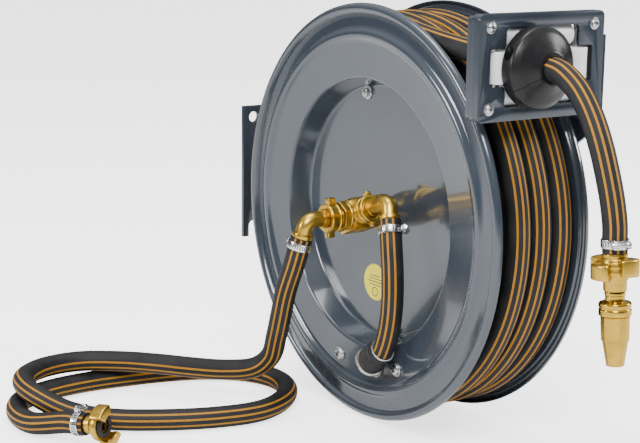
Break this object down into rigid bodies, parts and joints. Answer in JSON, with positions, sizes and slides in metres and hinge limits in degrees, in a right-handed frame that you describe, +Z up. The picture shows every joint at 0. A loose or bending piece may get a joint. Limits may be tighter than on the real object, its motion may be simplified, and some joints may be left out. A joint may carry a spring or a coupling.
{
  "type": "hose reel",
  "caption": "Wall-mounted spring-rewind hose reel with grey pressed flanges, a roller hose guide, brass swivel and twist nozzle, black striped hose and a supply hose coiled beside it.",
  "frame": {"origin": "centre of the wall plate's back face, level with the drum's axle", "axes": "+Y into the wall, +X along the axle from the water swivel towards the support arm, +Z up"},
  "size_m": [0.5733, 0.7458, 0.5247],
  "materials": {
    "flange_paint": "glossy slate-grey powder coat on pressed sheet",
    "bracket_paint": "dark slate powder coat on plate",
    "zinc_steel": "bright zinc plate",
    "spring_steel": "blued spring steel",
    "stainless": "bright stainless band",
    "cast_brass": "cast brass, slightly grained, machined faces",
    "bush_bronze": "sintered bronze",
    "hose_rubber": "fabric-marked black rubber with ochre stripes",
    "seal_rubber": "moulded black rubber",
    "stopper_plastic": "black moulded nylon",
    "roller_plastic": "white acetal"
  },
  "bodies": {
    "frame": {"wall_plate": "bracket_paint", "support_arm": "bracket_paint", "main_shaft": "zinc_steel", "shaft_nut": "zinc_steel", "retaining_ring": "zinc_steel", "guide_arm": "bracket_paint", "guide_box": "bracket_paint", "guide_plate": "bracket_paint", "guide_screw_1": "zinc_steel", "guide_screw_2": "zinc_steel", "guide_screw_3": "zinc_steel", "guide_screw_4": "zinc_steel", "left_roller_pin": "zinc_steel", "right_roller_pin": "zinc_steel", "lower_roller_pin": "zinc_steel", "upper_roller_pin": "zinc_steel", "pawl_pin": "zinc_steel", "pawl_spring": "spring_steel", "inlet_elbow": "cast_brass", "inlet_nut": "cast_brass", "inlet_clamp": "stainless", "supply_hose": "hose_rubber", "supply_clamp": "stainless", "supply_coupling": "cast_brass", "coupling_seal": "seal_rubber", "feed_hose": "hose_rubber", "stopper_upper": "stopper_plastic", "stopper_lower": "stopper_plastic", "outlet_hose": "hose_rubber", "outlet_clamp": "stainless", "hose_coupling": "cast_brass", "nozzle_coupling": "cast_brass", "nozzle_body": "cast_brass"},
    "drum": {"front_flange": "flange_paint", "rear_flange": "flange_paint", "drum_core": "flange_paint", "hub_tube": "zinc_steel", "front_bush": "bush_bronze", "rear_bush": "bush_bronze", "spring_case": "zinc_steel", "spring_cover": "bracket_paint", "ratchet_wheel": "spring_steel", "spiral_spring": "spring_steel", "swivel_body": "cast_brass", "swivel_spigot": "cast_brass", "outlet_nut": "cast_brass", "outlet_elbow": "cast_brass", "link_clamp": "stainless", "link_hose": "hose_rubber", "entry_elbow": "zinc_steel", "entry_sleeve": "seal_rubber", "entry_bolt_1": "zinc_steel", "entry_bolt_2": "zinc_steel", "hose_pack": "hose_rubber"},
    "pawl": {"pawl": "spring_steel"},
    "nozzle": {"nozzle_sleeve": "cast_brass"},
    "left_wheel": {"left_roller": "roller_plastic"},
    "right_wheel": {"right_roller": "roller_plastic"},
    "lower_wheel": {"lower_roller": "roller_plastic"},
    "upper_wheel": {"upper_roller": "roller_plastic"}
  },
  "joints": [
    {"name": "drum_spin", "type": "hinge", "parent": "frame", "child": "drum", "pos_m": [0, -0.33, 0], "axis": [1, 0, 0], "continuous": true},
    {"name": "left_roller_spin", "type": "hinge", "parent": "frame", "child": "left_wheel", "pos_m": [-0.058, -0.5635, 0.203], "axis": [0, 0, 1], "continuous": true},
    {"name": "right_roller_spin", "type": "hinge", "parent": "frame", "child": "right_wheel", "pos_m": [0.058, -0.5635, 0.203], "axis": [0, 0, 1], "continuous": true},
    {"name": "lower_roller_spin", "type": "hinge", "parent": "frame", "child": "lower_wheel", "pos_m": [0, -0.5565, 0.1705], "axis": [1, 0, 0], "continuous": true},
    {"name": "upper_roller_spin", "type": "hinge", "parent": "frame", "child": "upper_wheel", "pos_m": [0, -0.5565, 0.2355], "axis": [1, 0, 0], "continuous": true},
    {"name": "pawl_swing", "type": "hinge", "parent": "frame", "child": "pawl", "pos_m": [0.0707, -0.25013, 0.02907], "axis": [1, 0, 0], "range_deg": [-30, 30], "stiffness_Nm_per_rad": 0.05},
    {"name": "nozzle_twist", "type": "hinge", "parent": "frame", "child": "nozzle", "pos_m": [-0.02, -0.72235, -0.04616], "axis": [0, -0.0738, -0.9973], "range_deg": [0, 270]}
  ]
}
